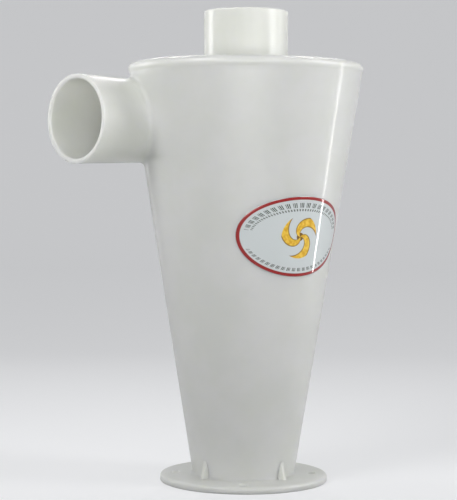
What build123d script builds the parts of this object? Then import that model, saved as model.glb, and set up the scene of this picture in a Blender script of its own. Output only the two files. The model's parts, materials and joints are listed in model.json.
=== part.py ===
"""Small dust cyclone moulded in translucent polypropylene, with ports for 50 mm hose.

Dusty air enters the cone through a tangential pipe near its top and spins down the wall. Clean air
leaves up the vortex tube in the lid, and dust falls out through the flanged foot.

The origin is the centre of the foot flange's underside and +Z runs up the cone's axis. The inlet
faces -X, with its centre line on the +Y side. Lengths are in millimetres, angles in degrees.
"""

import os
from math import atan, atan2, cos, hypot, pi, radians, sin, tan

from build123d import *

# Overall form of the cone, which ends at the lid's top face
body_height = 248.2
foot_radius = 29.8
top_radius = 70.0
wall = 2.7

# Foot flange, which is screwed to the lid of a dust bin
flange_width = 20.2
flange_thickness = 4.0
flange_edge_round = 1.6
foot_root_round = 1.5
screw_inset = 9.0
screw_hole_radius = 2.4
screw_count = 4

# Gusset ribs between the cone and the foot flange
rib_count = 4
rib_width = 3.2
rib_reach = 4.4
rib_height = 10.5

# Tangential inlet pipe, drafted so that its cores pull out through the mouth
inlet_drop = 34.4
inlet_mouth_radius = 25.65
inlet_mouth_wall = 2.85
inlet_draft = 1.5
duct_draft = 1.0
duct_clearance = 2.1
inlet_reach = 34.4
saddle_reach = 13.6
saddle_round = 3.0
lip_round = 0.5

# Bands that the round wall is divided into
barrel_drop = 49.8
rim_band_height = 6.0
rim_band_wall = 4.55
rim_band_proud = 0.53
rim_band_lead = 1.8
rim_round = 3.0

# Lid disc and the bead that welds it into the rim band
lid_thickness = 3.0
bead_width = 2.4
bead_height = 0.6

# Straight tube through the lid: the outlet above it and the vortex finder below
outlet_height = 31.5
outlet_radius = 25.0
outlet_wall = 2.7
outlet_root_round = 2.0
outlet_lip_round = 0.9
vortex_finder_length = 80.0

# Oval sticker, cut flat and wrapped round the cone
label_azimuth = -98.6
label_drop = 66.6
label_half_width = 39.6
label_half_height = 23.4
label_thickness = 0.2
label_outline_points = 24

slope = (top_radius - foot_radius) / body_height
half_angle = atan(slope)


def finish(part, name):
    """Label a finished piece and write it to its own file."""
    part.label = name
    export_step(part, f"parts/{name}.step")


def cone_radius(z, inset=0.0):
    """Radius at height z of the cone's outer surface, or of one that lies inset inside it."""
    return foot_radius + slope * z - inset / cos(half_angle)


# Heights and radii that follow from the sizes above
flange_radius = foot_radius + flange_width
screw_circle_radius = flange_radius - screw_inset
dust_bore_radius = cone_radius(flange_thickness, wall)
rim_low_z = body_height - rim_band_height
rim_lead_z = rim_low_z + rim_band_lead
lid_low_z = body_height - lid_thickness
lid_radius = top_radius + rim_band_proud - rim_band_wall
outlet_bore_radius = outlet_radius - outlet_wall

# The inlet's duct clears the inside of the wall by a little where it runs past the cone's axis
inlet_z = body_height - inlet_drop
inlet_mouth_x = cone_radius(inlet_z) + inlet_reach
duct_mouth_radius = inlet_mouth_radius - inlet_mouth_wall
duct_end_radius = duct_mouth_radius - inlet_mouth_x * tan(radians(duct_draft))
inlet_offset = cone_radius(inlet_z, wall) - duct_end_radius - duct_clearance
inlet_mouth = Vector(-inlet_mouth_x, inlet_offset, inlet_z)
barrel_low_z = inlet_z - barrel_drop
label_z = inlet_z - label_drop

os.makedirs("parts", exist_ok=True)


def cone_core(low_z, high_z, inset=0.0):
    """Solid inside the cone's outer surface, or inside one that lies inset from it."""
    with BuildPart() as core:
        with BuildSketch(Plane.YZ):
            with BuildLine():
                Polyline(
                    (0, low_z),
                    (cone_radius(low_z, inset), low_z),
                    (cone_radius(high_z, inset), high_z),
                    (0, high_z),
                    close=True,
                )
            make_face()
        revolve(axis=Axis.Z)
    return core.part


def inlet_core(mouth_radius, draft):
    """Drafted round core on the inlet's centre line, from its mouth to beside the cone's axis."""
    end_radius = mouth_radius - inlet_mouth_x * tan(radians(draft))
    with BuildPart() as core:
        with BuildSketch(Plane(inlet_mouth)):
            with BuildLine():
                Polyline(
                    (0, 0),
                    (0, mouth_radius),
                    (inlet_mouth_x, end_radius),
                    (inlet_mouth_x, 0),
                    close=True,
                )
            make_face()
        revolve(axis=Axis(inlet_mouth, (1, 0, 0)))
    return core.part


def tube(low_z, high_z, outer_radius, inner_radius):
    """Straight round tube on the cone's axis."""
    with BuildPart() as ring:
        with BuildSketch(Plane.XY.offset(low_z)):
            Circle(outer_radius)
            Circle(inner_radius, mode=Mode.SUBTRACT)
        extrude(amount=high_z - low_z)
    return ring.part


def rim_edges(part, z, radius):
    """The round edge of a given radius at height z."""
    circles = part.edges().filter_by(GeomType.CIRCLE)
    level = circles.filter_by(lambda edge: abs(edge.center(CenterOf.BOUNDING_BOX).Z - z) < 0.01)
    return level.filter_by(lambda edge: abs(edge.radius - radius) < 0.01)


# Foot flange: a flat ring with a rounded edge, a small fillet up to the cone and clear screw holes
stub_top_z = flange_thickness + 4 * foot_root_round
with BuildPart() as base_flange:
    with BuildSketch():
        Circle(flange_radius)
    extrude(amount=flange_thickness)
    fillet(rim_edges(base_flange, flange_thickness, flange_radius), radius=flange_edge_round)
    add(cone_core(0, stub_top_z))
    fillet(
        rim_edges(base_flange, flange_thickness, cone_radius(flange_thickness)),
        radius=foot_root_round,
    )
    add(cone_core(flange_thickness, stub_top_z), mode=Mode.SUBTRACT)
    with BuildSketch():
        Circle(dust_bore_radius)
        with PolarLocations(screw_circle_radius, screw_count, start_angle=180 / screw_count):
            Circle(screw_hole_radius)
    extrude(amount=flange_thickness, mode=Mode.SUBTRACT)
finish(base_flange.part, "base_flange")

# Gusset ribs: thin triangular fins that stand on the flange and lean on the cone
rib_top_z = flange_thickness + rib_height
with BuildPart() as gusset_rib:
    with BuildSketch(Plane.XZ):
        with BuildLine():
            Polyline(
                (foot_radius / 2, flange_thickness),
                (cone_radius(flange_thickness) + rib_reach, flange_thickness),
                (cone_radius(rib_top_z), rib_top_z),
                (foot_radius / 2, rib_top_z),
                close=True,
            )
        make_face()
    extrude(amount=rib_width / 2, both=True)
    add(cone_core(0, rib_top_z + rib_height), mode=Mode.SUBTRACT)
    add(base_flange.part, mode=Mode.SUBTRACT)
for i in range(rib_count):
    finish(gusset_rib.part.rotate(Axis.Z, 360 * i / rib_count), f"gusset_rib_{i + 1}")

# Cone wall: the long straight taper from the foot to just under the vortex finder
with BuildPart() as cone_wall:
    add(cone_core(flange_thickness, barrel_low_z))
    add(cone_core(flange_thickness, barrel_low_z, wall), mode=Mode.SUBTRACT)
finish(cone_wall.part, "cone_wall")

# The barrel and its tangential inlet are one moulding, blended where the pipe runs into the cone.
# It is made whole here and then parted into the barrel, the saddle at the pipe's root and the pipe.
with BuildPart() as inlet_moulding:
    add(cone_core(barrel_low_z, rim_low_z))
    add(inlet_core(inlet_mouth_radius, inlet_draft))
    fillet(inlet_moulding.edges().filter_by(GeomType.BSPLINE), radius=saddle_round)
    add(inlet_core(duct_mouth_radius, duct_draft), mode=Mode.SUBTRACT)

with BuildPart() as inlet_barrel:
    add(cone_core(barrel_low_z, rim_low_z))
    add(cone_core(barrel_low_z, rim_low_z, wall), mode=Mode.SUBTRACT)
    add(inlet_core(duct_mouth_radius, duct_draft), mode=Mode.SUBTRACT)
finish(inlet_barrel.part, "inlet_barrel")

saddle_plane = Plane.YZ.offset(-cone_radius(inlet_z) - saddle_reach)
with BuildPart() as inlet_saddle:
    add(inlet_moulding.part)
    add(cone_core(0, body_height), mode=Mode.SUBTRACT)
    split(bisect_by=saddle_plane, keep=Keep.TOP)
finish(inlet_saddle.part, "inlet_saddle")

with BuildPart() as inlet_pipe:
    add(inlet_moulding.part)
    split(bisect_by=saddle_plane, keep=Keep.BOTTOM)
    fillet(inlet_pipe.edges().group_by(Axis.X)[0], radius=lip_round)
finish(inlet_pipe.part, "inlet_pipe")

# Rim band: the thickened top of the wall, which swells out a little and ends in a rounded edge
with BuildPart() as rim_band:
    with BuildSketch(Plane.YZ):
        with BuildLine():
            Polyline(
                (lid_radius, rim_low_z),
                (cone_radius(rim_low_z), rim_low_z),
                (cone_radius(rim_lead_z) + rim_band_proud, rim_lead_z),
                (cone_radius(body_height) + rim_band_proud, body_height),
                (lid_radius, body_height),
                close=True,
            )
        make_face()
    revolve(axis=Axis.Z)
    fillet(
        rim_edges(rim_band, body_height, cone_radius(body_height) + rim_band_proud),
        radius=rim_round,
    )
finish(rim_band.part, "rim_band")

# Lid: a flat disc let into the rim band, with the tube's bore through its middle
finish(tube(lid_low_z, body_height, lid_radius, outlet_bore_radius), "lid_disc")

# Weld bead: a low half-round ring laid over the seam between lid and rim band
with BuildPart() as lid_weld_bead:
    with BuildSketch(Plane.YZ):
        with BuildLine():
            ThreePointArc(
                (lid_radius - bead_width / 2, body_height),
                (lid_radius, body_height + bead_height),
                (lid_radius + bead_width / 2, body_height),
            )
            Line(
                (lid_radius + bead_width / 2, body_height),
                (lid_radius - bead_width / 2, body_height),
            )
        make_face()
    revolve(axis=Axis.Z)
finish(lid_weld_bead.part, "lid_weld_bead")

# Outlet pipe above the lid, with a rounded lip and a small fillet at its root
outlet_top_z = body_height + outlet_height
with BuildPart() as outlet_pipe:
    with BuildSketch(Plane.YZ):
        with BuildLine():
            root = Polyline(
                (outlet_bore_radius, body_height),
                (outlet_radius + outlet_root_round, body_height),
            )
            RadiusArc(
                root @ 1,
                (outlet_radius, body_height + outlet_root_round),
                outlet_root_round,
            )
            Polyline(
                (outlet_radius, body_height + outlet_root_round),
                (outlet_radius, outlet_top_z),
                (outlet_bore_radius, outlet_top_z),
                (outlet_bore_radius, body_height),
            )
        make_face()
    revolve(axis=Axis.Z)
    fillet(outlet_pipe.edges().group_by(Axis.Z)[-1], radius=outlet_lip_round)
finish(outlet_pipe.part, "outlet_pipe")

# Vortex finder: the same tube carried down past the inlet
vortex_low_z = lid_low_z - vortex_finder_length
with BuildPart() as vortex_finder:
    add(tube(vortex_low_z, lid_low_z, outlet_radius, outlet_bore_radius))
    fillet(vortex_finder.edges().group_by(Axis.Z)[0], radius=outlet_lip_round)
finish(vortex_finder.part, "vortex_finder")


def label_outline(turn):
    """A point of the flat oval at an angle round it, rolled onto the cone and seen square on.

    The cone unrolls to a sector about its tip, and the flat oval is laid on that sector.
    """
    along = label_half_width * cos(turn)
    up = cone_radius(label_z) / sin(half_angle) + label_half_height * sin(turn)
    tip_distance = hypot(up, along)
    way_round = atan2(along, up) / sin(half_angle)
    height = tip_distance * cos(half_angle) - cone_radius(label_z) / slope
    return tip_distance * sin(half_angle) * sin(way_round), height


# Oval sticker: a thin skin on the cone, bounded by an ellipse that was cut out flat
turns = [2 * pi * i / label_outline_points for i in range(label_outline_points)]
sight = Vector(cos(radians(label_azimuth)), sin(radians(label_azimuth)), 0)
label_plane = Plane(
    origin=(0, 0, label_z),
    x_dir=Vector(0, 0, 1).cross(sight),
    z_dir=sight,
)
label_low_z = label_z - 2 * label_half_height
label_high_z = label_z + 2 * label_half_height
with BuildPart() as oval_label:
    with BuildSketch(label_plane):
        with BuildLine():
            Spline([label_outline(turn) for turn in turns], periodic=True)
        make_face()
    extrude(amount=2 * top_radius)
    add(cone_core(label_low_z, label_high_z, -label_thickness), mode=Mode.INTERSECT)
    add(cone_core(0, body_height), mode=Mode.SUBTRACT)
finish(oval_label.part, "oval_label")
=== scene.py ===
"""Small dust cyclone moulded in milky polypropylene: its finished surfaces round the CAD model.

Everything is in metres in the model's own frame. The cone stands on its foot flange at z = 0 with
its axis along Z, and the inlet pipe faces -X.
"""

import json

import bpy
import numpy as np
from mathutils import Matrix, Vector

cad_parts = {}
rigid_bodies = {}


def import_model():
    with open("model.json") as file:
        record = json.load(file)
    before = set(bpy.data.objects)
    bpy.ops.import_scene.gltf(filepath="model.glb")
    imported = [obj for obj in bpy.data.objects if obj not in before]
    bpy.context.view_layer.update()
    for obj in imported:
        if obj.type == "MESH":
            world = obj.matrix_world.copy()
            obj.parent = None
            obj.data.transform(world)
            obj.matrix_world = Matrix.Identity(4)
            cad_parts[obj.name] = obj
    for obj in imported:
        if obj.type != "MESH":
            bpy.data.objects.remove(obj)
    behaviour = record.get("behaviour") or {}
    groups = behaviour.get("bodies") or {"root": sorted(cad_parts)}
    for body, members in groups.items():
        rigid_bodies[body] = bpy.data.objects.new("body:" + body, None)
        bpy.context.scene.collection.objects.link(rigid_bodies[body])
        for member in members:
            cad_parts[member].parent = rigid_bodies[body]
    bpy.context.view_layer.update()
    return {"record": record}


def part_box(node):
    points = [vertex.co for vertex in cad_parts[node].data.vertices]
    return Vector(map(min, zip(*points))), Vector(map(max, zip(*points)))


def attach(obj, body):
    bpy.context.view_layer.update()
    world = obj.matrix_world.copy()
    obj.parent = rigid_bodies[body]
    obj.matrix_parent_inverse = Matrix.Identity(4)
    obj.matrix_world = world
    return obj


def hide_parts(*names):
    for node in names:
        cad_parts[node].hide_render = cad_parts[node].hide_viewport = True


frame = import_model()

# Body moulding: foot flange, long cone, tangential inlet and thick rim are one piece of milky
# polypropylene, injection moulded round a conical core and a round core that pulls out through the
# inlet's mouth. The pipe runs into the cone through a small fillet.
mm = 0.001
mounts = {mount["name"]: mount for mount in frame["record"]["mounts"]}
_, flange_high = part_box("base_flange")
cone_low, cone_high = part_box("cone_wall")
_, barrel_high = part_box("inlet_barrel")
rim_low, rim_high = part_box("rim_band")
lid_low, lid_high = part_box("lid_disc")

wall = 2.7 * mm
slope = (barrel_high.y - cone_high.y) / (barrel_high.z - cone_high.z)
half_angle = np.arctan(slope)
flange_radius = flange_high.y
flange_thickness = cone_low.z
flange_round = 1.6 * mm
foot_root_round = 1.5 * mm
edge_break = 0.4 * mm
bore_radius = mounts["dust_outlet"]["dims"]["r_mm"] * mm
screws = mounts["foot_screws"]["dims"]
screw_circle = screws["pcd_mm"] * mm / 2
screw_radius = screws["hole_r_mm"] * mm
rim_proud = 0.35 * mm
rim_round = 3.0 * mm
rim_top = rim_high.z
seat_radius = lid_high.y

inlet = mounts["inlet_spigot"]
mouth_x, inlet_y, inlet_z = inlet["pos_m"]
mouth_radius = inlet["dims"]["r_mm"] * mm
mouth_wall = 2.85 * mm
duct_radius = mouth_radius - mouth_wall
pipe_draft = np.radians(1.5)
duct_draft = np.radians(1.0)
saddle_round = 3.0 * mm
lip_round = 0.5 * mm
lip_inner_round = 1.3 * mm

columns = 240
turns = np.linspace(0, 2 * np.pi, columns, endpoint=False)


def cone_radius(z, inset=0.0):
    """Radius of the cone at a height: a straight line in z, less the inset square to the wall."""
    return cone_high.y + slope * (z - cone_high.z) - inset / np.cos(half_angle)


def cone_line(z, inset=0.0):
    """Profile points (radius, height) on the cone at some heights."""
    return np.stack([cone_radius(z, inset), z], axis=-1)


def straight(start, end, steps):
    """Points on a straight line between two points, both ends included."""
    along = np.linspace(0, 1, steps + 1)[:, None]
    return (1 - along) * np.array(start, float) + along * np.array(end, float)


def arc(centre, radius, start, end, steps=6):
    """Points on a circle round a centre, from one angle in radians to another."""
    angle = np.linspace(start, end, steps + 1)
    return np.array(centre) + radius * np.stack([np.cos(angle), np.sin(angle)], axis=-1)


def around(radius, angle, height):
    """Points at a radius and an angle round Z: x = r cos a, y = r sin a, z = h."""
    return np.stack([radius * np.cos(angle), radius * np.sin(angle), height + 0 * angle], axis=-1)


def revolve(profile, angles=turns):
    """Each (radius, height) of the profile turned round Z, as one row of points."""
    return around(profile[:, 0, None], angles, profile[:, 1, None])


def vertex_numbers(points):
    """The numbers that a table of points gets when it is written out row by row."""
    return np.arange(points[..., 0].size).reshape(points.shape[:2])


def grid_faces(number, closed_rows=False, closed_columns=True):
    """Quads between neighbouring rows and columns of a table of vertex numbers."""
    if closed_rows:
        number = np.vstack([number, number[:1]])
    if closed_columns:
        number = np.hstack([number, number[:, :1]])
    return np.stack(
        [number[:-1, :-1], number[:-1, 1:], number[1:, 1:], number[1:, :-1]], axis=-1
    )


def make_piece(name, points, faces, sharp_angle=40.0, caps=()):
    """A mesh object at the origin from points, quads and end caps, smooth but for its corners."""
    mesh = bpy.data.meshes.new(name)
    polygons = faces.reshape(-1, 4).tolist() + [cap.tolist() for cap in caps]
    mesh.from_pydata(points.reshape(-1, 3), [], polygons)
    mesh.update()
    mesh.shade_smooth()
    mesh.set_sharp_from_angle(angle=np.radians(sharp_angle))
    made = bpy.data.objects.new(name, mesh)
    bpy.context.scene.collection.objects.link(made)
    return made


# The wall's closed profile, up the outside and down the inside, kept as stretches with names. An
# arc's angles are counted in quarter turns: 0 points outward, 1 up, 2 inward, and 3 or -1 down.
quarter = np.pi / 2
edge_steps = 3
screw_window = 4.5 * mm
screw_rows = 6
screws_inner, screws_outer = screw_circle - screw_window, screw_circle + screw_window
root_z = flange_thickness + foot_root_round
cone_rows = 36
window_low, window_high = 184 * mm, rim_low.z
window_rows = 25

profile = {}
profile["bore edge"] = arc(
    (bore_radius + edge_break, edge_break), edge_break, 2 * quarter, 3 * quarter, edge_steps
)
profile["underside"] = straight(
    (bore_radius + 2 * edge_break, 0), (screws_inner - screw_window, 0), 2
)
profile["screws below"] = straight((screws_inner, 0), (screws_outer, 0), screw_rows)
profile["flange edge"] = np.vstack(
    [
        arc((flange_radius - edge_break, edge_break), edge_break, -quarter, 0, edge_steps),
        arc(
            (flange_radius - flange_round, flange_thickness - flange_round),
            flange_round,
            0,
            quarter,
        ),
    ]
)
profile["screws above"] = straight(
    (screws_outer, flange_thickness), (screws_inner, flange_thickness), screw_rows
)
profile["foot root"] = arc(
    (cone_radius(root_z, -foot_root_round), root_z),
    foot_root_round,
    3 * quarter,
    2 * quarter - half_angle,
)
cone_z = np.linspace(root_z + 2 * foot_root_round, window_low, cone_rows)[:-1]
profile["cone"] = cone_line(cone_z)
window_z = np.linspace(window_low, window_high, window_rows)
profile["inlet outside"] = cone_line(window_z)
# Near the top the wall swells out by a half cosine wave, up to where its rounded edge begins
swell_rows = 9
rim_arc_z = rim_top - rim_round * (1 + np.sin(half_angle))
swell_z = np.linspace(rim_low.z, rim_arc_z, swell_rows)[1:]
swell = rim_proud * (1 - np.cos(np.linspace(0, np.pi, swell_rows)[1:])) / 2
profile["rim"] = np.vstack(
    [
        np.stack([cone_radius(swell_z) + swell, swell_z], axis=-1)[:-1],
        arc(
            (cone_radius(rim_top - rim_round, rim_round) + rim_proud, rim_top - rim_round),
            rim_round,
            -half_angle,
            quarter,
            steps=10,
        ),
        arc(
            (seat_radius + edge_break, rim_top - edge_break),
            edge_break,
            quarter,
            2 * quarter,
            edge_steps,
        ),
    ]
)
profile["seat"] = straight((seat_radius, lid_low.z), (seat_radius, rim_low.z), 2)
inner_z = np.linspace(rim_low.z, window_low, window_rows + 1)
profile["under the rim"] = cone_line(inner_z[:1], wall)
profile["inlet inside"] = cone_line(inner_z[1:], wall)
profile["inside"] = cone_line(np.linspace(window_low, flange_thickness, cone_rows)[1:], wall)
profile["bore"] = straight((bore_radius, flange_thickness / 2), (bore_radius, 2 * edge_break), 1)

stretch_ends = np.cumsum([len(stretch) for stretch in profile.values()])
stretch_rows = {
    name: np.arange(end - len(profile[name]), end) for name, end in zip(profile, stretch_ends)
}
body_points = revolve(np.vstack(list(profile.values())))
body_numbers = vertex_numbers(body_points)
body_kept = np.ones(body_numbers.shape, bool)
body_parts = [body_points.reshape(-1, 3)]
body_faces = []


def window_loop(stretch, first, last, upward=True):
    """Vertex numbers once round a window: its first row, last column, last row and first column."""
    rows = stretch_rows[stretch] if upward else stretch_rows[stretch][::-1]
    across = np.arange(first, last + 1)
    row = np.r_[0 * across[1:] + rows[0], rows[:-1], 0 * across[1:] + rows[-1], rows[:0:-1]]
    column = np.r_[across[:-1], 0 * rows[1:] + last, across[:0:-1], 0 * rows[1:] + first]
    body_kept[min(rows) : max(rows), first:last] = False
    return body_numbers[row, column]


def between(start, end, steps):
    """Evenly spaced rows of points after a first row and up to a last one."""
    shares = [step / steps for step in range(1, steps + 1)]
    return [(1 - share) * start + share * end for share in shares]


def add_tunnel(first_loop, rows, last_loop):
    """A tube of quads through the wall, from one window's edge over the rows to the other's."""
    rows = np.stack(rows)
    start = sum(len(part) for part in body_parts)
    body_parts.append(rows.reshape(-1, 3))
    numbers = np.vstack([first_loop, start + vertex_numbers(rows), last_loop])
    body_faces.append(grid_faces(numbers).reshape(-1, 4))


# The screw holes, each a tunnel between a window in the flange's top and one in its underside
screw_reach = 4
screw_steps = 3
edge_bulge = 0.3 * edge_break
screw_profile = [
    (screw_radius + edge_break, flange_thickness),
    (screw_radius + edge_bulge, flange_thickness - edge_bulge),
    (screw_radius, flange_thickness - edge_break),
    (screw_radius, 0),
]
for i in range(screws["count"]):
    middle_column = round(columns * (i + 0.5) / screws["count"])
    screw_columns = middle_column - screw_reach, middle_column + screw_reach
    top = window_loop("screws above", *screw_columns)
    bottom = window_loop("screws below", *screw_columns, upward=False)
    top_points, bottom_points = body_parts[0][top], body_parts[0][bottom]
    turn = turns[middle_column]
    middle = screw_circle * np.array([np.cos(turn), np.sin(turn), 0])
    way = top_points * (1, 1, 0) - middle
    way /= np.linalg.norm(way, axis=1)[:, None]
    rows = [middle + radius * way + (0, 0, height) for radius, height in screw_profile]
    rows = between(top_points, rows[0], screw_steps) + rows[1:]
    rows += between(rows[-1], bottom_points, screw_steps)[:-1]
    add_tunnel(top, rows, bottom)


def pipe_point(x, angle, radius, draft):
    """A point on a drafted round pipe: its radius at the mouth, less the draft's fall with x."""
    reach = radius - (x - mouth_x) * np.tan(draft)
    return np.stack([x, inlet_y + reach * np.cos(angle), inlet_z + reach * np.sin(angle)], axis=-1)


def pipe_meets_cone(angle, radius, draft, inset):
    """Where each straight line along a drafted pipe meets the cone, set in by the inset.

    With y and z written as straight lines in x, the cone's equation is a quadratic in x.
    """
    fall = np.tan(draft)
    reach = radius + mouth_x * fall
    y_start, y_fall = inlet_y + reach * np.cos(angle), -fall * np.cos(angle)
    z_start, z_fall = inlet_z + reach * np.sin(angle), -fall * np.sin(angle)
    r_start, r_fall = cone_radius(z_start, inset), slope * z_fall
    a = 1 + y_fall**2 - r_fall**2
    b = 2 * (y_start * y_fall - r_start * r_fall)
    c = y_start**2 - r_start**2
    x = (-b - np.sqrt(b * b - 4 * a * c)) / (2 * a)
    return np.stack([x, y_start + y_fall * x, z_start + z_fall * x], axis=-1)


def saddle(angle, share):
    """The fillet that a ball rolled along both pipe and cone leaves.

    The ball's centre lies its radius off both. From there the fillet's points lie one radius off,
    in directions turned evenly from the cone's side at share 0 to the pipe's side at share 1.
    """
    ball = pipe_meets_cone(
        angle, mouth_radius + saddle_round / np.cos(pipe_draft), pipe_draft, -saddle_round
    )
    out = np.hypot(ball[..., 0], ball[..., 1])
    off_cone = np.stack(
        [
            np.cos(half_angle) * ball[..., 0] / out,
            np.cos(half_angle) * ball[..., 1] / out,
            0 * out - np.sin(half_angle),
        ],
        axis=-1,
    )
    off_pipe = np.stack(
        [
            0 * angle + np.sin(pipe_draft),
            np.cos(pipe_draft) * np.cos(angle),
            np.cos(pipe_draft) * np.sin(angle),
        ],
        axis=-1,
    )
    between_them = np.arccos((off_cone * off_pipe).sum(-1))[..., None]
    toward = np.sin((1 - share) * between_them) * off_cone + np.sin(share * between_them) * off_pipe
    return ball - saddle_round * toward / np.sin(between_them)


def unrolled(point):
    """A point on the cone as (way round, height)."""
    return np.stack([np.arctan2(point[..., 1], point[..., 0]) % (2 * np.pi), point[..., 2]], -1)


def rolled(chart, inset):
    """A (way round, height) back on the cone."""
    return around(cone_radius(chart[..., 1], inset), chart[..., 0], chart[..., 1])


def flattened(point):
    """A point on the cone as lengths (round, up), true at the inlet's height."""
    return unrolled(point) * (cone_radius(inlet_z), 1)


def bearing_angles(corners, outline):
    """The angle along a closed outline at which each corner has its bearing from the middle."""
    ring = outline(np.linspace(0, 2 * np.pi, 90))
    middle = (ring.min(0) + ring.max(0)) / 2
    angle = np.linspace(0, 2 * np.pi, 720, endpoint=False)
    ring = outline(angle) - middle
    bearing = np.unwrap(np.arctan2(ring[:, 1], ring[:, 0]))
    seen = np.unwrap(np.arctan2(corners[:, 1] - middle[1], corners[:, 0] - middle[0]))
    return seen + np.interp(seen, bearing, angle - bearing, period=2 * np.pi)


def touch_outline(angle):
    """Where the saddle runs into the cone, laid flat, which mirrors the angle round the pipe."""
    return flattened(saddle(np.pi - angle, 0.0))


def hole_outline(angle):
    """The duct's hole in the cone's inner face, laid flat and mirrored in the same way."""
    return flattened(pipe_meets_cone(np.pi - angle, duct_radius, duct_draft, wall))


# The inlet is one tunnel: off the cone, over the saddle, along the pipe, round its lip and back
# through the duct. Its two windows lie in the quarter of the cone that faces -X and +Y.
inlet_columns = 66, 119
window_steps = 5
saddle_steps = 9
pipe_steps = 14
duct_steps = 20
outside = window_loop("inlet outside", *inlet_columns)
inside = window_loop("inlet inside", *inlet_columns, upward=False)
outside_points, inside_points = body_parts[0][outside], body_parts[0][inside]
angle_out = np.pi - bearing_angles(flattened(outside_points), touch_outline)
angle_in = np.pi - bearing_angles(flattened(inside_points), hole_outline)

touch = saddle(angle_out, 0.0)
rows = [
    rolled(chart, 0) for chart in between(unrolled(outside_points), unrolled(touch), window_steps)
]
rows += [saddle(angle_out, share) for share in np.linspace(0, 1, saddle_steps + 1)[1:]]
lip_x = mouth_x + lip_round
rows += [
    pipe_point(x, angle_out, mouth_radius, pipe_draft)
    for x in between(rows[-1][:, 0], 0 * angle_out + lip_x, pipe_steps)
]
# The lip's two rounded edges, as arcs of (x, radius) that run into the pipe's and duct's drafts
lip_outer = mouth_radius - lip_round * np.tan(pipe_draft) - lip_round / np.cos(pipe_draft)
lip_inner_x = mouth_x + lip_inner_round
lip_inner = (
    duct_radius
    - lip_inner_round * np.tan(duct_draft)
    + lip_inner_round / np.cos(duct_draft)
)
lip = np.vstack(
    [
        arc((lip_x, lip_outer), lip_round, quarter - pipe_draft, 2 * quarter)[1:],
        arc((lip_inner_x, lip_inner), lip_inner_round, 2 * quarter, 3 * quarter - duct_draft),
    ]
)
rows += [pipe_point(x + 0 * angle_out, angle_out, reach, 0.0) for x, reach in lip]
hole = pipe_meets_cone(angle_in, duct_radius, duct_draft, wall)
rows += [
    pipe_point(x, angle, duct_radius, duct_draft)
    for x, angle in zip(
        between(rows[-1][:, 0], hole[:, 0], duct_steps),
        between(angle_out, angle_in, duct_steps),
        strict=True,
    )
]
rows += [
    rolled(chart, wall)
    for chart in between(unrolled(hole), unrolled(inside_points), window_steps)[:-1]
]
add_tunnel(outside, rows, inside)

body_faces.append(grid_faces(body_numbers, closed_rows=True)[body_kept])
body = make_piece("cyclone_body", np.vstack(body_parts), np.vstack(body_faces))


class Field:
    """A socket of a material's node tree. Python's operators on it add Math nodes."""

    def __init__(self, tree, socket=None):
        self.tree = tree
        self.socket = socket

    def node(self, kind, settings=(), values=(), output=0):
        """Add a node of a kind: its settings are made first, then its sockets are set or linked."""
        made = self.tree.nodes.new(kind)
        for name, setting in dict(settings).items():
            setattr(made, name, setting)
        for name, value in dict(values).items():
            if isinstance(value, Field):
                self.tree.links.new(value.socket, made.inputs[name])
            else:
                made.inputs[name].default_value = value
        return Field(self.tree, made.outputs[output])

    def math(self, operation, *values):
        """Add a Math node of these values."""
        return self.node("ShaderNodeMath", {"operation": operation}, enumerate(values))

    def __add__(self, other):
        return self.math("ADD", self, other)

    def __sub__(self, other):
        return self.math("SUBTRACT", self, other)

    def __rsub__(self, other):
        return self.math("SUBTRACT", other, self)

    def __mul__(self, other):
        return self.math("MULTIPLY", self, other)

    def __truediv__(self, other):
        return self.math("DIVIDE", self, other)

    __radd__ = __add__
    __rmul__ = __mul__

    def ramp(self, low, high):
        """0 below the low value and 1 above the high one, with a smooth step between."""
        values = {"Value": self, "From Min": low, "From Max": high}
        return self.node("ShaderNodeMapRange", {"interpolation_type": "SMOOTHSTEP"}, values)

    def noise(self, size, detail):
        """Soft noise from 0 to 1 over this place, whose lumps are about as wide as the size."""
        values = {"Vector": self, "Scale": 1 / size, "Detail": detail}
        return self.node("ShaderNodeTexNoise", {}, values)

    def blend(self, first, second):
        """A colour between two, with this field as the share of the second.

        A Mix node's colour inputs have the numbers 6 and 7, and its colour output the number 2.
        """
        settings = {"data_type": "RGBA", "clamp_factor": True}
        return self.node("ShaderNodeMix", settings, {0: self, 6: first, 7: second}, output=2)

    def feed(self, shader, socket):
        """Link this field to one of a shader's sockets."""
        self.tree.links.new(self.socket, shader.inputs[socket])


def colour(red, green, blue):
    """A colour written as it shows on a screen, 0 to 255, as Blender's linear values."""
    shown = np.array([red, green, blue]) / 255
    linear = np.where(shown > 0.04045, ((shown + 0.055) / 1.055) ** 2.4, shown / 12.92)
    return (*linear.tolist(), 1.0)


def make_material(name, **constants):
    """A Principled material with some sockets set: (material, its shader, a field to build on)."""
    made = bpy.data.materials.new(name)
    made.use_nodes = True
    shader = made.node_tree.nodes["Principled BSDF"]
    for socket, value in constants.items():
        shader.inputs[socket.replace("_", " ")].default_value = value
    return made, shader, Field(made.node_tree)


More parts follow.
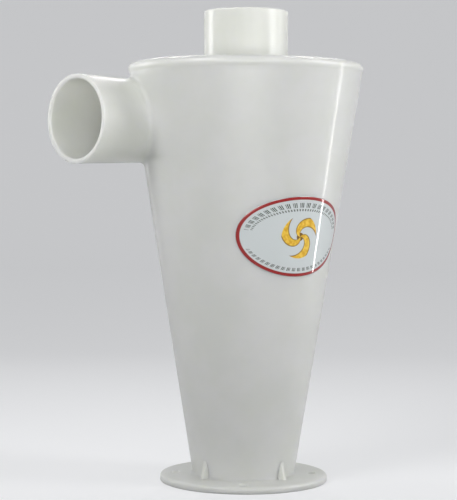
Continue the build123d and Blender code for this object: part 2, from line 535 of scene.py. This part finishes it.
def milky_plastic(name, light, dark, scatter=7 * mm):
    """Satin polypropylene: milky, translucent, with faint flow clouds and a fine rippled skin."""
    made, shader, field = make_material(
        name,
        IOR=1.49,
        Subsurface_Weight=1.0,
        Subsurface_Radius=(1.0, 1.0, 0.9),
        Subsurface_Scale=scatter,
        Coat_Weight=0.3,
        Coat_Roughness=0.1,
    )
    place = field.node("ShaderNodeTexCoord", output="Object")
    clouds = place.noise(size=28 * mm, detail=3.0)
    speckle = place.noise(size=1.1 * mm, detail=2.0)
    ripple = place.noise(size=9 * mm, detail=1.0)
    ripple_height, speckle_height = 0.05 * mm, 0.006 * mm
    height = ripple * ripple_height + speckle * speckle_height
    bump = field.node("ShaderNodeBump", {}, {"Height": height, "Distance": 1.0, "Strength": 1.0})
    roughness = 0.33 + speckle * 0.08 + clouds * 0.05
    clouds.ramp(0.3, 0.7).blend(light, dark).feed(shader, "Base Color")
    roughness.feed(shader, "Roughness")
    bump.feed(shader, "Normal")
    return made


body_light, body_dark = colour(224, 225, 221), colour(219, 221, 215)
body_plastic = milky_plastic("milky_polypropylene", body_light, body_dark)
body.data.materials.append(body_plastic)
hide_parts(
    "base_flange", "cone_wall", "inlet_barrel", "inlet_saddle", "inlet_pipe", "rim_band"
)
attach(body, "root")

# Gusset ribs: small triangular fins in the corner between the cone and the foot flange, moulded
# with both. The mould's rounded edges leave them as soft swellings, which thin a little towards
# their tips. Each runs a little way into wall and flange.
rib_count = 4
rib_flare = 1.5
rib_tip_share = 0.85
rib_sink = 0.5 * mm
rib_steps = 16
rib_columns = 25
_, rib_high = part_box("gusset_rib_1")
rib_toe = np.array([rib_high.x, flange_thickness])
rib_tip = np.array([cone_radius(rib_high.z), rib_high.z])
rib_ridge = straight(rib_toe, rib_tip, rib_steps)
ridge_way = (rib_tip - rib_toe) / np.linalg.norm(rib_tip - rib_toe)
into_corner = np.array([-ridge_way[1], ridge_way[0]])
# Under the ridge a rib is deepest at the corner, and its depth falls evenly to both ends
corner = np.array([cone_radius(flange_thickness), flange_thickness])
corner_along, corner_depth = (corner - rib_toe) @ ridge_way, (corner - rib_toe) @ into_corner
ridge_along = (rib_ridge - rib_toe) @ ridge_way
rib_depth = rib_sink + corner_depth * np.minimum(
    ridge_along / corner_along,
    (ridge_along[-1] - ridge_along) / (ridge_along[-1] - corner_along),
)
# Across the rib its surface falls from ridge to foot by a half cosine wave, squeezed so that the
# ridge is broad and the foot flares out: fall = (1 - cos(pi share^2)) / 2
rib_share = np.linspace(1, -1, rib_columns)
rib_fall = (1 - np.cos(np.pi * np.abs(rib_share) ** 2)) / 2
rib_half_width = rib_flare * rib_high.y * np.linspace(1, rib_tip_share, len(rib_ridge))
sideways = rib_half_width[:, None] * rib_share
spine = rib_ridge[:, None] + (rib_depth[:, None] * rib_fall)[..., None] * into_corner
# The light scatters over a shorter way than in the body, because a thin piece with a mesh of its
# own would lose it through its hidden sides
thin_plastic = milky_plastic(
    "milky_polypropylene_thin", body_light, body_dark, scatter=0.6 * mm
)
for i in range(rib_count):
    turn = 2 * np.pi * i / rib_count
    rib_points = np.stack(
        [
            spine[..., 0] * np.cos(turn) - sideways * np.sin(turn),
            spine[..., 0] * np.sin(turn) + sideways * np.cos(turn),
            spine[..., 1],
        ],
        axis=-1,
    )
    numbers = vertex_numbers(rib_points)
    caps = [numbers[0], numbers[-1][::-1]]
    quads = grid_faces(numbers)[..., ::-1]
    rib = make_piece(f"gusset_rib_moulded_{i + 1}", rib_points, quads, caps=caps)
    rib.data.materials.append(thin_plastic)
    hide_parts(f"gusset_rib_{i + 1}")
    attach(rib, "root")

# Lid moulding: a flat disc with one straight tube through it, turned up above as the outlet pipe
# and down inside as the vortex finder. It is the same polypropylene and drops into the rim's seat.
_, outlet_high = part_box("outlet_pipe")
finder_low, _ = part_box("vortex_finder")
outlet_radius = mounts["outlet_spigot"]["dims"]["r_mm"] * mm
outlet_bore = mounts["outlet_bore"]["dims"]["r_mm"] * mm
outlet_root = 2.0 * mm
finder_root = 1.0 * mm
seat_gap = 0.05 * mm
disc_radius = seat_radius - seat_gap
tube_lip = 0.9 * mm
lip_low_z, lip_high_z = finder_low.z + tube_lip, outlet_high.z - tube_lip
# Plain stretches of the profile start and end some way clear of its rounded corners
clear = 5 * mm
root_clear, lip_clear, edge_clear = 6 * mm, 4 * mm, 3 * mm
lid_profile = np.vstack(
    [
        arc((outlet_bore + tube_lip, lip_low_z), tube_lip, -2 * quarter, -quarter),
        arc((outlet_radius - tube_lip, lip_low_z), tube_lip, -quarter, 0),
        straight(
            (outlet_radius, finder_low.z + 2 * clear), (outlet_radius, lid_low.z - clear), 6
        ),
        arc(
            (outlet_radius + finder_root, lid_low.z - finder_root),
            finder_root,
            2 * quarter,
            quarter,
            steps=4,
        ),
        straight((outlet_radius + clear, lid_low.z), (disc_radius - edge_break, lid_low.z), 5),
        arc((disc_radius - edge_break, rim_top - edge_break), edge_break, 0, quarter, edge_steps),
        straight((disc_radius - edge_clear, rim_top), (outlet_radius + clear, rim_top), 5),
        arc(
            (outlet_radius + outlet_root, rim_top + outlet_root),
            outlet_root,
            -quarter,
            -2 * quarter,
        ),
        straight(
            (outlet_radius, rim_top + root_clear), (outlet_radius, outlet_high.z - lip_clear), 4
        ),
        arc((outlet_radius - tube_lip, lip_high_z), tube_lip, 0, quarter),
        arc((outlet_bore + tube_lip, lip_high_z), tube_lip, quarter, 2 * quarter),
        straight((outlet_bore, outlet_high.z - clear), (outlet_bore, finder_low.z + clear), 12),
    ]
)
lid_points = revolve(lid_profile)
lid_faces = grid_faces(vertex_numbers(lid_points), closed_rows=True)
lid = make_piece("cyclone_lid", lid_points, lid_faces)
# The lid is the body's polypropylene, but its two colours are painted a little darker than the
# body's. This painted shade tones down the outlet pipe, which the lamps light more strongly than
# the cone.
lid_shaded_plastic = milky_plastic(
    "milky_polypropylene_lid", colour(217, 218, 213), colour(213, 215, 209)
)
lid.data.materials.append(lid_shaded_plastic)
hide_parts("lid_disc", "outlet_pipe", "vortex_finder")
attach(lid, "root")

# Weld bead: a low uneven ring of polypropylene, melted where the lid was welded into the rim's seat
# and set again over the seam between them.
_, bead_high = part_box("lid_weld_bead")
bead_height = bead_high.z - rim_top
bead_half_width = bead_high.y - seat_radius
bead_columns, bead_rows = 480, 16
bead_turns = np.linspace(0, 2 * np.pi, bead_columns, endpoint=False)
generator = np.random.default_rng(12)


def wobble(angles, slowest, fastest, count=24):
    """A closed random wave of about -1 to 1: sine waves round a ring, of random rate and phase."""
    rates = generator.integers(slowest, fastest, count)[:, None]
    phases = generator.uniform(0, 2 * np.pi, count)[:, None]
    return np.sin(rates * angles + phases).sum(0) / np.sqrt(count)


# Across, the bead is an ellipse. Its top and its half width reach their full measures at most, its
# middle stays near the seam, and each of them wanders by a wave of its own.
bead_top = bead_height * (0.72 + 0.14 * np.clip(wobble(bead_turns, 14, 90), -2, 2))
bead_half = bead_half_width * (0.8 + 0.09 * np.clip(wobble(bead_turns, 10, 70), -2, 2))
bead_middle = seat_radius + 0.08 * bead_half_width * wobble(bead_turns, 6, 40)
bead_round = np.linspace(0, 2 * np.pi, bead_rows, endpoint=False)[:, None]
bead_radius = bead_middle + bead_half * np.cos(bead_round)
bead_rise = np.where(np.sin(bead_round) > 0, bead_top, bead_height / 2)
bead_points = around(bead_radius, bead_turns, rim_top + bead_rise * np.sin(bead_round))
bead_faces = grid_faces(vertex_numbers(bead_points), closed_rows=True)
bead = make_piece("weld_bead", bead_points, bead_faces, sharp_angle=80)
bead.data.materials.append(thin_plastic)
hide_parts("lid_weld_bead")
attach(bead, "root")

# Oval sticker: glossy white film, cut flat as an ellipse and wrapped round the front of the cone.
# It is printed with a red line near its edge, rows of small ticks and a gold whirl in the middle.
label_azimuth = np.radians(-98.6)
label_z = 147.2 * mm
label_half_width = 39.6 * mm
label_half_height = 23.4 * mm
label_thickness = 0.2 * mm
label_round = 0.08 * mm
label_sink = 0.05 * mm


def wrap_on_cone(flat, lift):
    """A flat (across, up) point rolled onto the cone without stretching.

    The cone unrolls to a sector about its tip. A point's distance from the tip is kept, and its
    angle in the sector divided by the sine of the half angle is its angle round the cone.
    """
    tip_distance = cone_radius(label_z) / np.sin(half_angle) + flat[..., 1]
    along = np.hypot(tip_distance, flat[..., 0])
    round_cone = label_azimuth + np.arctan2(flat[..., 0], tip_distance) / np.sin(half_angle)
    radius = along * np.sin(half_angle) + lift * np.cos(half_angle)
    height = label_z + along * np.cos(half_angle) - cone_radius(label_z) / np.tan(half_angle)
    return around(radius, round_cone, height - lift * np.sin(half_angle))


# Rings of points from the middle of the front to its rounded edge, and over the back to its middle
label_rings, label_columns = 24, 160
core_share, rim_share = 0.03, 0.97
label_turns = np.linspace(0, 2 * np.pi, label_columns, endpoint=False)
label_edge = np.stack(
    [label_half_width * np.cos(label_turns), label_half_height * np.sin(label_turns)], axis=-1
)
front_rings = np.r_[
    np.linspace(core_share, rim_share, label_rings), 1 - label_round / label_half_height, 1
]
back_rings = np.linspace(1, core_share, label_rings)
label_flat = np.r_[front_rings, back_rings][:, None, None] * label_edge
label_lift = np.r_[
    np.full(len(front_rings) - 1, label_thickness),
    label_thickness - label_round,
    np.full(len(back_rings), -label_sink),
]
label_numbers = vertex_numbers(label_flat)
label = make_piece(
    "oval_sticker",
    wrap_on_cone(label_flat, label_lift[:, None]),
    grid_faces(label_numbers)[..., ::-1],
    sharp_angle=50,
    caps=[label_numbers[0], label_numbers[-1][::-1]],
)
corner_vertices = np.zeros(len(label.data.loops), np.int32)
label.data.loops.foreach_get("vertex_index", corner_vertices)
flat_mm = label_flat.reshape(-1, 2)[corner_vertices] / mm
label.data.uv_layers.new(name="flat_mm").data.foreach_set("uv", flat_mm.ravel())

label_film, label_shader, field = make_material(
    "printed_film",
    Roughness=0.3,
    Specular_IOR_Level=0.15,
    Coat_Weight=1.0,
    Coat_Roughness=0.04,
    IOR=1.5,
)
print_place = field.node("ShaderNodeUVMap", {"uv_map": "flat_mm"})
print_x = field.node("ShaderNodeSeparateXYZ", {}, {"Vector": print_place}, output="X")
print_y = field.node("ShaderNodeSeparateXYZ", {}, {"Vector": print_place}, output="Y")


def inside_oval(half_size, softness=0.12):
    """1 inside an ellipse and 0 outside, in millimetres, with an edge about as soft as ink."""
    across, up = print_x / half_size[0], print_y / half_size[1]
    share = field.math("SQRT", across * across + up * up)
    blur = softness / half_size[1]
    return 1 - share.ramp(1 - blur, 1 + blur)


def tick_row(outer, inner, count, share=0.5):
    """A row of upright ticks between two ovals: a sine wave round the oval, cut off at a level."""
    band = inside_oval(outer, softness=0.06) - inside_oval(inner, softness=0.06)
    turn = field.math("ARCTAN2", print_y / outer[1], print_x / outer[0])
    wave = field.math("SINE", turn * count)
    level, blur = np.cos(np.pi * share), 0.15
    return band * wave.ramp(level - blur, level + blur)


def tick_blocks(outer, inner, count, ticks_each=4):
    """A row of short blocks of ticks: a fine row, which shows only where a coarse row is."""
    return tick_row(outer, inner, count, 0.66) * tick_row(outer, inner, ticks_each * count, 0.55)


# The print's sizes are in millimetres, an oval's being half its width and half its height. Inside
# the red ring's upper half stand a row of blocks and a finer row of ticks, and inside its lower
# half one more row of blocks: plain marks, as on a gauge.
film_white, tick_green, ring_red = colour(209, 215, 216), colour(40, 54, 38), colour(150, 6, 4)
ring_outer, ring_inner = (39.35, 23.2), (37.2, 21.4)
upper_outer, upper_inner = (35.4, 19.6), (32.6, 16.8)
fine_outer, fine_inner = (31.9, 16.1), (30.6, 14.8)
lower_outer, lower_inner = (36.2, 20.2), (34.4, 18.2)
red_ring = inside_oval(ring_outer) - inside_oval(ring_inner)
upper_half = print_y.ramp(2.0, 3.0)
lower_half = 1 - print_y.ramp(-9.0, -8.0)
upper_blocks = tick_blocks(upper_outer, upper_inner, count=44)
fine_row = tick_row(fine_outer, fine_inner, count=100)
lower_blocks = tick_blocks(lower_outer, lower_inner, count=60)
ticks = upper_half * (upper_blocks + 0.8 * fine_row) + lower_half * lower_blocks
# The gold whirl's arms are a sine wave round its middle, whose phase moves on with the distance
gold_light, gold_dark, gold_shade = colour(246, 206, 70), colour(222, 168, 24), colour(122, 88, 22)
whirl_arms = 3.0
whirl_twist = 0.5
whirl_radius = 12.7
hub_radius = 2.5
whirl_left, whirl_below = 0.4, 0.1
whirl_x, whirl_y = print_x + whirl_left, print_y + whirl_below
whirl_reach = field.math("SQRT", whirl_x * whirl_x + whirl_y * whirl_y)
whirl_turn = field.math("ARCTAN2", whirl_y, whirl_x)
whirl_wave = field.math("SINE", whirl_turn * whirl_arms + whirl_reach * whirl_twist)
within_whirl = 1 - whirl_reach.ramp(whirl_radius - 0.3, whirl_radius)
arms = whirl_wave.ramp(-0.12, 0.06) * within_whirl
hub = 1 - whirl_reach.ramp(hub_radius - 0.2, hub_radius)
whirl = field.math("MAXIMUM", arms, hub)
foil = print_place.noise(size=2.6, detail=1.0)
gold = foil.ramp(0.35, 0.65).blend(gold_dark, gold_light)
gold = (1 - whirl_wave.ramp(0.05, 0.5)).blend(gold, gold_shade)
face = ticks.blend(film_white, tick_green)
face = whirl.blend(face, gold)
face = red_ring.blend(face, ring_red)
face.feed(label_shader, "Base Color")
label.data.materials.append(label_film)
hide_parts("oval_label")
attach(label, "root")

# Camera: long lens, more than half way up the cone, square on to the corner between -X and -Y
camera_distance = 950 * mm
camera_height = 173.09 * mm
focal_px = 1588.92
long_side_px = 500
corner_turn = -np.pi / 4
# The small turns away from square and level were fitted to the outline in the photograph
heading, pitch, roll = corner_turn + 0.0102, -0.0372, 0.0055
camera_data = bpy.data.cameras.new("camera")
camera_data.sensor_width = 36
camera_data.lens = focal_px * camera_data.sensor_width / long_side_px
camera = bpy.data.objects.new("camera", camera_data)
bpy.context.scene.collection.objects.link(camera)
facing = Matrix.Rotation(corner_turn, 4, "Z")
camera.matrix_world = (
    Matrix.Translation(facing @ Vector((0, -camera_distance, camera_height)))
    @ Matrix.Rotation(heading, 4, "Z")
    @ Matrix.Rotation(np.pi / 2 + pitch, 4, "X")
    @ Matrix.Rotation(roll, 4, "Z")
)
bpy.context.scene.camera = camera

# Studio: a round floor that curves up into a wall, pale and plain, with soft lamps
floor_start, floor_radius = 1 * mm, 2.6
bend_radius = 1.2
wall_start, wall_height = 1.6, 3.4
wall_radius = floor_radius + bend_radius
bowl_profile = np.vstack(
    [
        straight((floor_start, 0), (floor_radius, 0), 10),
        arc((floor_radius, bend_radius), bend_radius, -quarter, 0, steps=16)[1:],
        straight((wall_radius, wall_start), (wall_radius, wall_height), 2),
    ]
)
bowl_points = revolve(bowl_profile, np.linspace(0, 2 * np.pi, 96, endpoint=False))
bowl_faces = grid_faces(vertex_numbers(bowl_points))[..., ::-1]
studio = make_piece("studio_floor", bowl_points, bowl_faces, sharp_angle=180)
studio_paint, studio_shader, field = make_material(
    "studio_paint", Roughness=0.9, Specular_IOR_Level=0.0, Emission_Strength=1.0
)
# Seen directly or in a reflection the paint is pale and even, and it throws little light back
ray_kinds = ("Is Camera Ray", "Is Glossy Ray", "Is Transmission Ray")
seen = sum(field.node("ShaderNodeLightPath", output=kind) for kind in ray_kinds)
studio_colour = seen.blend(colour(160, 161, 162), colour(186, 186, 187))
studio_glow = seen.blend((0.0, 0.0, 0.0, 1.0), colour(182, 183, 185))
studio_colour.feed(studio_shader, "Base Color")
studio_glow.feed(studio_shader, "Emission Color")
studio.data.materials.append(studio_paint)

world = bpy.data.worlds.new("studio_air")
world.use_nodes = True
background = world.node_tree.nodes["Background"]
background.inputs["Color"].default_value = (1.0, 1.0, 1.0, 1.0)
background.inputs["Strength"].default_value = 0.33
bpy.context.scene.world = world


def add_softbox(name, place, target, width, height, power, spread):
    """A rectangular lamp that faces a target, of some metres, watts and degrees of spread.

    Place and target are (right, away, up) in metres, as the camera sees them from the corner.
    """
    lamp_data = bpy.data.lights.new(name, "AREA")
    lamp_data.shape = "RECTANGLE"
    lamp_data.size, lamp_data.size_y = width, height
    lamp_data.energy = power
    lamp_data.spread = np.radians(spread)
    lamp = bpy.data.objects.new(name, lamp_data)
    place, target = facing @ Vector(place), facing @ Vector(target)
    lamp.matrix_world = (
        Matrix.Translation(place) @ (target - place).to_track_quat("-Z", "Y").to_matrix().to_4x4()
    )
    lamp.visible_camera = False
    bpy.context.scene.collection.objects.link(lamp)


softboxes = [
    ("key_lamp", (-0.57, -0.58, 0.70), (-0.03, 0, 0.26), 0.45, 0.45, 0.65, 70),
    ("low_front_lamp", (0.00, -1.05, 0.10), (-0.02, 0, 0.28), 0.90, 0.30, 0.96, 60),
    ("right_strip", (0.474, 0.103, 0.255), (0, 0, 0.255), 0.014, 0.49, 0.18, 100),
    ("right_lamp", (0.79, -0.18, 0.46), (0, 0, 0.25), 0.30, 0.60, 0.52, 60),
    ("front_right_lamp", (0.52, -0.82, 0.40), (-0.02, 0, 0.25), 0.35, 0.35, 0.1, 60),
    ("left_strip", (-0.47, 0.68, 0.30), (0, 0, 0.20), 0.02, 0.56, 0.06, 90),
    ("left_lamp", (-0.75, 0.30, 0.35), (0, 0, 0.31), 0.30, 0.50, 0.27, 60),
    ("back_right_lamp", (0.21, 0.89, 0.86), (0.05, 0, 0.24), 0.09, 0.03, 0.25, 90),
    ("back_lamp", (0.00, 0.86, 0.78), (-0.06, 0, 0.24), 0.08, 0.012, 0.055, 90),
    ("back_left_lamp", (-0.22, 0.89, 0.86), (-0.05, 0, 0.24), 0.06, 0.03, 0.3, 90),
    ("top_lamp", (-0.05, 0.10, 0.95), (0, 0, 0.20), 0.22, 0.22, 0.4, 180),
]
for softbox in softboxes:
    add_softbox(*softbox)
# The right strip stands almost on the floor, so it lights the object alone and leaves no spot there
object_pieces = bpy.data.collections.new("object_pieces")
for piece in bpy.context.scene.collection.objects:
    if piece.type == "MESH" and piece != studio:
        object_pieces.objects.link(piece)
bpy.data.objects["right_strip"].light_linking.receiver_collection = object_pieces

bpy.context.scene.view_settings.view_transform = "Standard"
